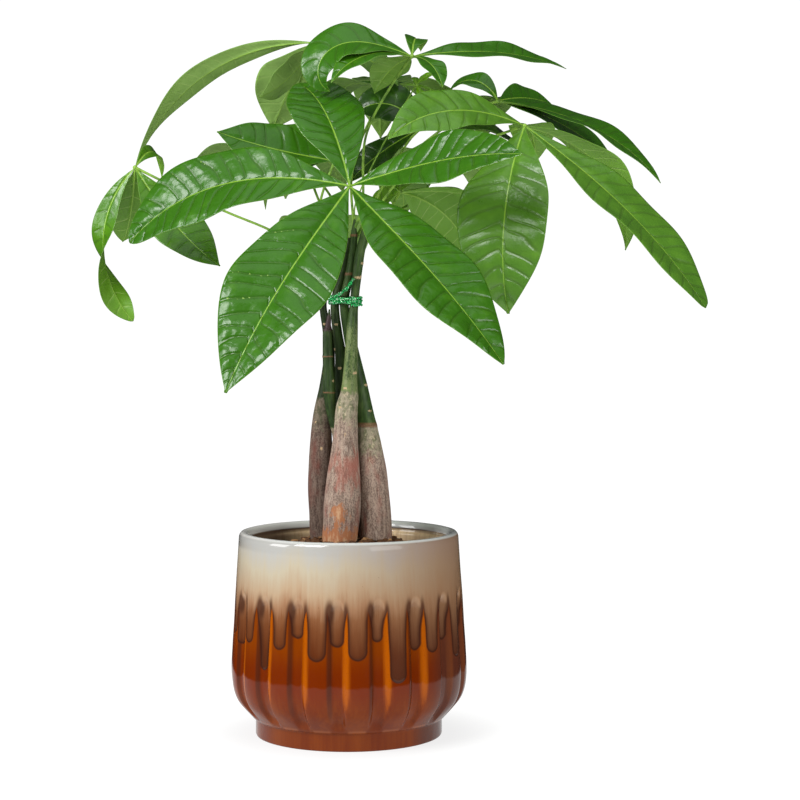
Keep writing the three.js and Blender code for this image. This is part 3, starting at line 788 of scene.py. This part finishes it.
class MONEYTREE_OT_stems(bpy.types.Operator):
    """Makes the five plaited stems with their bark, rings and scars"""
    bl_idname = "moneytree.stems"
    bl_label = "Make the stems"

    def execute(self, context):
        finish = bark_finish(context.scene.moneytree_stems)
        for index, name in enumerate(STEMS):
            self.stem(name, index, finish)
        return {"FINISHED"}

    def stem(self, name, index, finish):
        turning, over, shade, marks, _ = STEMS[name]
        line, radius = stem_line(name, STEM_ROWS)
        plain = rod_points(line, radius, STEM_SIDES)
        height = plain[..., 2]
        spoke = plain - line[:, None]
        facing = np.degrees(np.arctan2(spoke[..., 0], -spoke[..., 1]))
        green = smooth(turning - over, turning + over, height)
        film = smooth(turning - 46, turning - 6, height)
        scar = ring = peel = blush = dead = 0 * height
        for at, towards, tall, wide in marks:
            mark = bell(height - at, tall)
            if wide == 360:
                ring = np.maximum(ring, mark)
            else:
                scar = np.maximum(scar, mark * bell(off_turn(facing, towards), wide / 2, 4))
        if name == "stem_centre":
            # The front stem has a peeled patch, a red blush and a grey film that goes on up its green part
            film = film * (1 - smooth(turning + 4, turning + 34, height))
            film = np.maximum(film, 0.75 * green * (1 - smooth(345, 365, height)))
            peel = bell(height - 193, 9) * bell(facing + 4, 30) + 1.1 * (1 - smooth(164, 192, height))
            blush = bell(height - 228, 17, 4) * smooth(-80, 10, facing)
        else:
            film = film * (1 - smooth(turning - 1, turning + 3, height))
        if name in ("stem_back_left", "stem_back_right"):
            peel = 0.5 * (1 - green)
        if name == "stem_back_left":
            dead = smooth(CUT_TOP - 2, CUT_TOP + 1, height) * (1 - smooth(358, 363, height))
        fine = uneven(plain * [1, 1, 0.22], 5, FINE_SEED + index) * 0.32
        furrow = fine + uneven(plain * [1, 1, 0.4], 13, BROAD_SEED + index) * 0.5
        bump = furrow * (1 - 0.75 * green) * smooth(2, 9, radius)[:, None] + scar * 0.35 + ring * 0.45
        thinned = 1 - TOP_TAPER * smooth(line[-1, 2] - 12, line[-1, 2], line[:, 2])
        values = dict(
            green=green, scar=scar, ring=ring, peel=peel, blush=blush, dead=dead, film=film, shade=shade)
        shape = Shape(*values)
        shape.add(rod_points(line, (radius * thinned)[:, None] + bump, STEM_SIDES), **values)
        shape.piece(name + "_bark", finish, [name])


# The tie

TIE_LOOP = [
    [2.2, -9.2], [7.2, -9.6], [11, -5], [9.4, -0.4], [-0.4, 8.5], [-9, 12.2], [-14.9, 10.1], [-16.3, 6],
    [-15, 1.2], [-6, -4.8],
]
TIE_LOW = 368.5
TIE_TURNS = 2.85
TIE_PITCH = 2.7
TIE_TAIL = [[-5, -7.2, 379.5], [-1, -8.6, 383], [2, -9, 387], [4.5, -9, 391]]
TIE_STEPS = 24
TIE_ROWS = 620
TIE_SIDES = 8
TIE_SEED = 5
FOIL_TWIST = 70
FOIL_FLATNESS = 0.45


def foil_finish(look):
    made = Finish("foil", Metallic=0.5, Roughness=0.2)
    crumple = made.noise(1.1, 3)
    foil_and_painted_glints = made.layers(
        srgb(10, 110, 54),
        (made.step(crumple, 0.35, 0.65), look.foil),
        # Painted glints: near-white patches on the foil
        (made.step(made.noise(1.6, 2), 0.52, 0.62) * 0.9, srgb(214, 250, 222)))
    made.set(Base_Color=foil_and_painted_glints, Normal=made.bump(crumple, 0.6))
    return made.material


class MONEYTREE_OT_tie(bpy.types.Operator):
    """Makes the green foil tie round the stems"""
    bl_idname = "moneytree.tie"
    bl_label = "Make the tie"

    def execute(self, context):
        look = context.scene.moneytree_tie
        turns = np.arange(TIE_STEPS + 1) / TIE_STEPS * TIE_TURNS
        loops = np.column_stack([smooth_line(TIE_LOOP, turns % 1, closed=True), TIE_LOW + TIE_PITCH * turns])
        line = smooth_line(np.vstack([loops, TIE_TAIL]), np.linspace(0, 1, TIE_ROWS))
        crumple = np.random.default_rng(TIE_SEED).uniform(0.8, 1.15, (TIE_ROWS, TIE_SIDES))
        twist = np.linspace(0, FOIL_TWIST, TIE_ROWS)[:, None] + around(TIE_SIDES)
        strip = np.hypot(np.cos(twist), FOIL_FLATNESS * np.sin(twist))
        shape = Shape()
        shape.add(rod_points(line, look.width / MM / 2 * strip * crumple, TIE_SIDES))
        shape.piece("foil_tie", foil_finish(look), ["tie"], flat=True)
        return {"FINISHED"}


# The leaves. Each stands on a stem at a height, reaches its hub by way of bends, and carries leaflets of
# [heading, swing, rise, droop, length, width, roll], in degrees and millimetres. The heading is counted
# from +X towards +Y and turns by the swing along the leaflet, the rise is the climb at the hub and falls
# by the droop towards the tip, and the roll turns the upper face about the midrib. Three more numbers
# may follow: the leaflet's own bend power, how blunt its tip is, with 1 for pointed and less for rounder, and
# a twist in degrees, which adds to the roll towards the tip. The tone goes from 0, dark, a painted shade for
# leaves in the shade, to 1, grown, and 2, young and bright. A leaf may also have a relief, how strongly it
# swells between its veins, a pale, how much a painted sheen and painted light through the blade lighten its
# colour, and a scale, the size of its stalk.

LEAVES = {
    "leaf_front": [
        dict(stem="stem_left", at=412, by=[[-11, -22, 452]], hub=[3, -75, 466], tone=0.85, relief=1.5),
        [112, 3, 57, 45, 156, 62, -14], [170, -5, 11.5, 60, 205, 72, -48, 1.4, 0.6, -12],
        [242, -22, -36, 27, 225, 84, -26], [303, 26, -31, 21, 223, 70, 20, 1.4, 0.8],
        [-28, -16, 15, 20, 170, 56, 50],
    ],
    "leaf_top": [
        dict(stem="stem_right", at=433, by=[[11.5, 2.6, 450], [15, 0, 512], [38, -10, 556]],
             hub=[54, -15, 578], tone=1.0),
        [183, 0, 20, 178, 114, 51, -32, 2.5, 1, -25], [206, 1, 9, 67, 84, 30, -22],
        [84, -6, 52, 100, 60, 20, 18], [18, 9, 9, 26, 147, 42, 26], [-56, -1, -8, 61, 57, 24, 2],
        [116, 0, -3, 38, 79, 32, 12],
    ],
    "leaf_right": [
        dict(stem="stem_centre", at=440, by=[[50, -10, 480], [118, -27, 508]],
             hub=[148, -35, 518], tone=1.35, relief=0.8, pale=0.08),
        [248, -3, -45, 74, 174, 80, 0], [204, 2, 19, 62, 133, 48, -46],
        [-37, 22, -33, 25, 222, 56, 20, 1.4, 0.45], [22, 0, -10, 90, 157, 54, -4],
        [80, 0, 10, 60, 98, 40, 0],
    ],
    "leaf_upper_right": [
        dict(stem="stem_centre", at=428, by=[[34, 20, 478], [104, 37, 536]], hub=[129, 36, 545], tone=1.0),
        [137, 9, 54, 112, 67, 24, -32], [49, -6, 12, 26, 74, 34, 42], [32, -6, -9, 38, 150, 42, 40],
        [18, -30, -6, 48, 166, 44, 22], [95, 0, 15, 70, 120, 44, 0],
    ],
    "leaf_far_left": [
        dict(stem="stem_left", at=403, by=[[-66, 30, 432], [-111, 38, 451]], hub=[-187, 44, 488], tone=1.4),
        [184, 0, -45, 88, 148, 32, -75, 1, 0.5, 205], [-33, -6, -52, -25, 131, 46, 36],
        [110, 0, -72, -50, 84, 36, 0], [63, 25, 44, 121, 78, 16, 44],
    ],
    "leaf_upper_left": [
        dict(stem="stem_left", at=427, by=[[-34, 40, 480], [-46, 54, 548]],
             hub=[-30, 58, 598], tone=0.9, pale=0.22),
        [156, 4, 3, 74, 230, 29, 42, 1.15, 1, -66], [124, 1, -36, 20, 102, 62, 20],
        [222, 0, -52, -30, 82, 34, 60], [8, 0, -8, 45, 84, 44, 40],
    ],
    "leaf_left_middle": [
        dict(stem="stem_left", at=420, by=[[-24, 2, 452]], hub=[-12, 0, 491], tone=0.8),
        [172, 8, 10, -10, 104, 54, -48], [159, -50, 10, 82, 105, 40, -60], [138, -1, 31, 24, 90, 34, -30],
    ],
    "leaf_lower_right": [
        dict(stem="stem_centre", at=417, by=[[30, 22, 443]], hub=[44, 45, 467], tone=1.75),
        [49, 0, -7, 60, 129, 56, -40], [119, -2, -13, -2, 75, 34, -60], [10, 0, 5, 40, 120, 46, 0],
        [88, 0, 20, 70, 118, 46, 0],
    ],
    "leaf_centre": [
        dict(stem="stem_right", at=421, by=[[26, 26, 466], [52, 52, 512]], hub=[62, 60, 523], tone=0.2),
        [171, 0, 55, 105, 70, 46, -50], [129, -2, -22, -3, 78, 42, -50], [186, 0, -28, 22, 80, 34, -40],
        [20, 0, 10, 50, 110, 44, 20],
    ],
    "leaf_young": [
        dict(stem="stem_right", at=441, by=[[6, 13, 456], [42, 20, 530]],
             hub=[58, 15, 557], tone=2.0, scale=0.6),
        [180, 0, 10, 40, 12, 5, 0], [100, 0, 50, 30, 13, 6, 0], [15, 0, 45, 30, 20, 9, 30],
        [-15, 0, -10, 50, 22, 9, 0], [-60, 0, -45, 30, 18, 8, 0],
    ],
    "leaf_back_left": [
        dict(stem="stem_back_right", at=417, by=[[-16, 48, 462]], hub=[-55, 110, 505], tone=0.7),
        [95, 0, 20, 85, 150, 56, 0], [140, 0, 15, 80, 150, 56, 0], [180, 0, -8, 60, 98, 42, 0],
        [62, 0, 15, 80, 110, 46, 0],
    ],
    "leaf_back_right": [
        dict(stem="stem_back_right", at=425, by=[[28, 66, 444], [62, 104, 466]],
             hub=[85, 120, 500], tone=0.9),
        [60, 0, 6, 80, 150, 56, 0], [105, 0, 20, 85, 150, 56, 0], [140, 0, 15, 80, 90, 40, 0],
        [18, 0, 0, 70, 100, 44, 0],
    ],
    "leaf_back_low": [
        dict(stem="stem_back_right", at=407, by=[[-20, 48, 434]], hub=[-32, 100, 448], tone=0.5),
        [66, 0, 5, 60, 110, 44, 0], [100, 0, 5, 60, 130, 50, 0], [125, 0, -30, 40, 80, 34, 0],
    ],
    "leaf_back_top": [
        dict(stem="stem_right", at=429, by=[[3, 36, 488]], hub=[30, 80, 560], tone=0.6, relief=0.2),
        [92, 0, 24, 95, 150, 56, 0], [48, 0, 20, 90, 105, 46, 0], [128, 0, 20, 90, 120, 46, 0],
    ],
}
BEND_POWER = 1.4
WIDEST_AT = 0.55
FOLD = 0.13
WAVE = 0.035
WAVES = 2.5
RIPPLE = 0.008
PLAIN_RELIEF = 0.55
RIB_HEIGHT = 0.9
CREASE_DEPTH = 0.3
PHASE_STEP = 1.7
PETIOLE_RADIUS = 1.1
PETIOLE_FOOT = 1.9
PETIOLE_END = 1.5
PETIOLE_ROWS = 110
PETIOLE_SIDES = 12
KNOB_RADIUS = 2.1
KNOB_ROWS = 10
KNOB_SIDES = 14
VEIN_SPACING = 12.5
BLADE_ROWS = 84
HALF_ACROSS = np.array([0, 0.03, 0.08, 0.17, 0.27, 0.37, 0.47, 0.57, 0.67, 0.77, 0.87, 0.95, 1])
ACROSS = np.concatenate([-HALF_ACROSS[:0:-1], HALF_ACROSS])


def blade(shape, look, leaf, leaflet, phase):
    """One leaflet: a thin closed blade, folded at its midrib and swelling between its side veins."""
    heading, swing, rise, droop, length_, width, roll, *own = leaflet
    bend, blunt, twist = [*own, *(BEND_POWER, 1, 0)[len(own):]]
    relief_ = leaf.get("relief", PLAIN_RELIEF)
    along = np.linspace(0, 1, BLADE_ROWS)

    def way(v, raised=0):
        """The midrib's way at a share of its length, or the way that is raised from it by degrees."""
        return climbing(np.radians(rise - droop * v**bend + raised), np.radians(heading + swing * v))

    steps = way((along[1:] + along[:-1]) / 2) * length_ / (BLADE_ROWS - 1)
    place = np.array(leaf["hub"], float) + np.vstack([[0, 0, 0], np.cumsum(steps, 0)])
    direction, level = way(along), way(along, 90)
    turn = np.radians(roll + twist * along**2)[:, None]
    facing = level * np.cos(turn) + np.cross(direction, level) * np.sin(turn)
    across = np.cross(direction, facing)

    taper = np.maximum(0, np.sin(np.pi * along ** (math.log(0.5) / math.log(WIDEST_AT))))
    taper = np.maximum(0.03, taper ** np.where(along > WIDEST_AT, blunt, 1))[:, None]
    half = taper * width / 2
    mid = ACROSS * half
    side = np.sign(ACROSS)
    off = np.abs(ACROSS)
    v = along[:, None]
    fold = FOLD * half * off**1.15
    wave = WAVE * width * np.sin(2 * np.pi * WAVES * v + phase + side) * taper * off**1.5
    veins = max(5, length_ / VEIN_SPACING)
    slant = (0.28 * off + 0.16 * off**2) * width / VEIN_SPACING * 0.5 * taper**0.5
    gaps = 0.13 * np.sin(veins * 1.9 * v + 2 * side + phase) + 0.07 * np.sin(veins * 3.7 * v - side)
    vein = veins * v - slant + 0.42 * side * smooth(0, 0.1, off) + phase + gaps
    between = 1 - np.abs(2 * (vein % 1) - 1) ** 2.4
    between = between * (0.55 + 0.3 * np.sin(3.1 * vein + 5 * side) + 0.35 * v)
    calm = smooth(0.02, 0.2, off) * (1 - smooth(0.78, 1, off))
    calm = calm * smooth(0.03, 0.16, v) * (1 - smooth(0.9, 1, v))
    swell = look.quilt * width * between * calm * relief_
    ripple = RIPPLE * width * np.sin(9 * v + 4 * ACROSS + phase * 3) * calm
    lift = fold + wave + swell + ripple
    thick = look.thickness / MM / 2 * (1 - 0.5 * off**3)
    crease = CREASE_DEPTH * bell(mid, 1.1) * smooth(0, 0.1, v)
    rib = (RIB_HEIGHT * (1 - v) ** 0.8 + 0.1) * bell(mid, 1)
    spread = place[:, None] + across[:, None] * mid[..., None]
    upper = spread + facing[:, None] * (lift - crease + thick)[..., None]
    lower = spread + facing[:, None] * (lift - thick - rib)[..., None]

    def both(field):
        """A value across the upper face and back across the lower one."""
        return np.concatenate([field, field[:, ::-1]], 1)

    count = len(ACROSS)
    loop = 2 * count
    caps = [[start + i, start + i + 1, start + loop - 2 - i, start + loop - 1 - i][::order]
            for start, order in ((0, -1), ((BLADE_ROWS - 1) * loop, 1)) for i in range(count - 1)]
    shape.add(
        np.concatenate([upper, lower[:, ::-1]], 1), caps, mid=both(mid), vein=both(vein), along=v,
        upper=np.arange(loop) < count, margin=both((1 - off) * half),
        ruffle=both((off * 0.4 + 0.9 * v) * relief_), tone=leaf["tone"], pale=leaf.get("pale", 0), leaf=1)


def leaf_finish(look):
    made = Finish("leaf", Specular_IOR_Level=0.6)
    mix, step, noise, value = made.mix, made.step, made.noise, made.value
    along, upper, tone, margin, ruffle = map(value, ("along", "upper", "tone", "margin", "ruffle"))
    off_vein = 1 - (value("vein").math("FRACT") * 2 - 1).math("ABSOLUTE")
    inside = step(margin, 1.0, 6.0)
    vein_line = step(off_vein, 0.1, 0.02) * inside
    blotch = noise(16, 4)
    top = made.layers(
        look.dark,
        # A low tone keeps the dark face, painted shade for leaves in the shade
        (step(tone + (blotch - 0.5) * 0.8, 0.1, 0.9), look.upper),
        (step(tone + (blotch - 0.5) * 0.5, 1.1, 2.0), look.young),
        (step(blotch, 0.5, 0.8) * 0.4, srgb(82, 138, 16)),
        # Painted shade in the creases along the side veins
        (step(off_vein, 0.3, 0.0) * inside * 0.5, look.dark),
        (vein_line * 0.15, srgb(104, 152, 40)))
    below = made.layers(
        look.under,
        (step(blotch, 0.4, 0.7) * 0.5, srgb(92, 134, 38)),
        # Painted shade on the undersides of leaves with a low tone
        (step(tone, 0.6, 0.2), srgb(58, 90, 18)),
        (step(tone, 0.9, 1.2), srgb(94, 146, 10)),
        (vein_line * 0.6, srgb(150, 182, 90)))
    rib = step(value("mid").math("ABSOLUTE") - ((1 - along) * 0.6 + 0.2), 0.16, -0.16)
    face = made.layers(
        below,
        (upper, top),
        # Painted sheen and painted light through the blade, as strong as the leaf's pale
        (value("pale"), srgb(158, 190, 108)),
        (rib * 0.9, look.rib),
        (step(margin, 0.7, 0.15) * 0.4, srgb(120, 162, 62)))
    stalk = mix(step(noise(6, 3), 0.4, 0.7), look.rib, srgb(84, 126, 30))
    made.set(Base_Color=mix(value("leaf"), stalk, face))
    made.set(Roughness=(1 - upper) * 0.22 + (noise(1.4, 4) - 0.5) * 0.03 + (blotch - 0.5) * 0.12 + look.gloss)
    crease = step(off_vein, 0.0, 0.35) * (step(ruffle + (blotch - 0.5), 0.2, 0.8) * 0.75 + 0.25)
    net = step(made.cells(11, "DISTANCE_TO_EDGE"), 0.0, 0.3) * step(ruffle, 0.75, 1.25)
    made.set(Normal=made.bump(noise(7, 2), 0.4, made.bump(crease + net * 0.45, 0.5)))
    return made.material


def petiole(shape, leaf):
    """The stalk from the stem to the hub, thicker at its foot, and the knob where the leaflets meet."""
    scale = leaf.get("scale", 1)
    line, _ = stem_line(leaf["stem"], FINE_ROWS)
    foot = line[np.argmin(np.abs(line[:, 2] - leaf["at"]))]
    steps = np.linspace(0, 1, PETIOLE_ROWS)
    path = smooth_line([foot, *leaf["by"], leaf["hub"]], steps)
    thin = PETIOLE_RADIUS * scale
    radii = thin + (PETIOLE_FOOT * scale - thin) * np.exp(-steps / 0.05)
    radii += (PETIOLE_END * scale - thin) * np.exp(-(1 - steps) / 0.03)
    shape.add(rod_points(path, radii, PETIOLE_SIDES), tone=leaf["tone"])
    knob = ball(KNOB_ROWS, KNOB_SIDES, 0.1) * KNOB_RADIUS * scale
    shape.add(knob + leaf["hub"], tone=leaf["tone"])


class MONEYTREE_OT_leaves(bpy.types.Operator):
    """Makes the palmate leaves, each with its stalk"""
    bl_idname = "moneytree.leaves"
    bl_label = "Make the leaves"

    def execute(self, context):
        look = context.scene.moneytree_leaves
        finish = leaf_finish(look)
        for name, (leaf, *leaflets) in LEAVES.items():
            shape = Shape("mid", "vein", "along", "upper", "margin", "ruffle", "tone", "pale", "leaf")
            petiole(shape, leaf)
            for index, leaflet in enumerate(leaflets):
                blade(shape, look, leaf, leaflet, index * PHASE_STEP)
            shape.piece(name + "_blades", finish, [name])
        return {"FINISHED"}


# The stage, in metres

CAMERA_PLACE = (0.044, -1.823, 0.379)
CAMERA_PITCH = math.radians(2.88)
CAMERA_LENS = 95.94
CAMERA_REACH = 50
LIGHTS = {
    "main_light": ("key", (-1.3, -1.35, 1.65), 1.2),
    "front_light": ("front", (1.5, -1.8, 0.9), 1.3),
    "left_light": ("left", (-2.0, -0.5, 0.8), 0.8),
    "top_light": ("top", (0.1, -0.2, 2.3), 1.6),
}
AIM = Vector((0, 0, 0.3))
FLOOR_SIDES = 96


class MONEYTREE_OT_stage(bpy.types.Operator):
    """Makes the pale floor, the soft lights and the camera"""
    bl_idname = "moneytree.stage"
    bl_label = "Make the stage"

    def execute(self, context):
        scene = context.scene
        look = scene.moneytree_stage
        self.floor(look)
        self.surroundings(scene)
        for name, (power, place, size) in LIGHTS.items():
            lamp = bpy.data.lights.new(name, "AREA")
            lamp.energy = getattr(look, power)
            lamp.size = size
            made = put(name, lamp)
            made.location = place
            made.rotation_euler = (AIM - Vector(place)).to_track_quat("-Z", "Y").to_euler()
        camera = bpy.data.cameras.new("camera")
        camera.lens = CAMERA_LENS
        camera.clip_end = CAMERA_REACH
        scene.camera = put("camera", camera)
        scene.camera.location = CAMERA_PLACE
        scene.camera.rotation_euler = (math.pi / 2 - CAMERA_PITCH, 0, 0)
        scene.view_settings.view_transform = "Standard"
        return {"FINISHED"}

    def floor(self, look):
        """A round floor that glows, with a painted shadow round the pot, and looks dark in the glaze farther
        out.
        """
        mesh = bpy.data.meshes.new("floor")
        rim = turned(look.reach, around(FLOOR_SIDES), 0)
        mesh.from_pydata(rim.tolist(), [], [list(range(FLOOR_SIDES))])
        paint = Finish("floor", Roughness=0.9)
        away = paint.read("Value", "VectorMath", {"operation": "LENGTH"}, {0: paint.place()})
        mirrored = paint.read("Is Glossy Ray", "LightPath")
        dark = paint.step(away, 0.37, 0.43) * mirrored
        paint.set(Base_Color=paint.mix(dark, (0.16, 0.16, 0.16), (0, 0, 0)))
        # Painted shadow round the pot's foot: the glow falls by up to 0.18 within 0.16 m of the axis
        glow = (1 - paint.step(away, 0.16, 0.08) * 0.18) * (1 - dark) * (1 - mirrored * 0.39)
        paint.set(Emission_Color=paint.mix(glow, (0, 0, 0), tuple(look.floor)), Emission_Strength=look.glow)
        mesh.materials.append(paint.material)
        floor = put("floor", mesh)

    def surroundings(self, scene):
        """White where the camera looks at it, and a dimmer light on the plant."""
        world = bpy.data.worlds.new("studio")
        world.use_nodes = True
        scene.world = world
        nodes = Nodes(world.node_tree)
        seen = nodes.read("Is Camera Ray", "LightPath")
        mirrored = nodes.read("Is Glossy Ray", "LightPath")
        backdrop = nodes.tree.nodes["Background"]
        nodes.feed(backdrop.inputs["Color"], (1, 1, 1))
        nodes.feed(backdrop.inputs["Strength"], seen * 0.72 + mirrored * -0.3 + 0.34)


# The add-on's panel and registration

GROUPS = {
    "moneytree_pot": PotSettings, "moneytree_soil": SoilSettings, "moneytree_stems": StemSettings,
    "moneytree_tie": TieSettings, "moneytree_leaves": LeafSettings, "moneytree_stage": StageSettings,
}
OPERATORS = [
    MONEYTREE_OT_pot, MONEYTREE_OT_soil, MONEYTREE_OT_stems, MONEYTREE_OT_tie, MONEYTREE_OT_leaves,
    MONEYTREE_OT_stage,
]


class MONEYTREE_PT_panel(bpy.types.Panel):
    bl_label = "Money tree"
    bl_idname = "MONEYTREE_PT_panel"
    bl_space_type = "VIEW_3D"
    bl_region_type = "UI"
    bl_category = "Money tree"

    def draw(self, context):
        for maker, group in zip(OPERATORS, GROUPS):
            part = self.layout.box()
            settings = getattr(context.scene, group)
            for name in GROUPS[group].__annotations__:
                part.prop(settings, name)
            part.operator(maker.bl_idname)


def register():
    for made in [*GROUPS.values(), *OPERATORS, MONEYTREE_PT_panel]:
        bpy.utils.register_class(made)
    for name, group in GROUPS.items():
        setattr(bpy.types.Scene, name, bpy.props.PointerProperty(type=group))


def unregister():
    for name in GROUPS:
        delattr(bpy.types.Scene, name)
    for made in [MONEYTREE_PT_panel, *OPERATORS[::-1], *list(GROUPS.values())[::-1]]:
        bpy.utils.unregister_class(made)


def main():
    register()
    for maker in OPERATORS:
        group, name = maker.bl_idname.split(".")
        getattr(getattr(bpy.ops, group), name)()


if __name__ == "__main__":
    main()
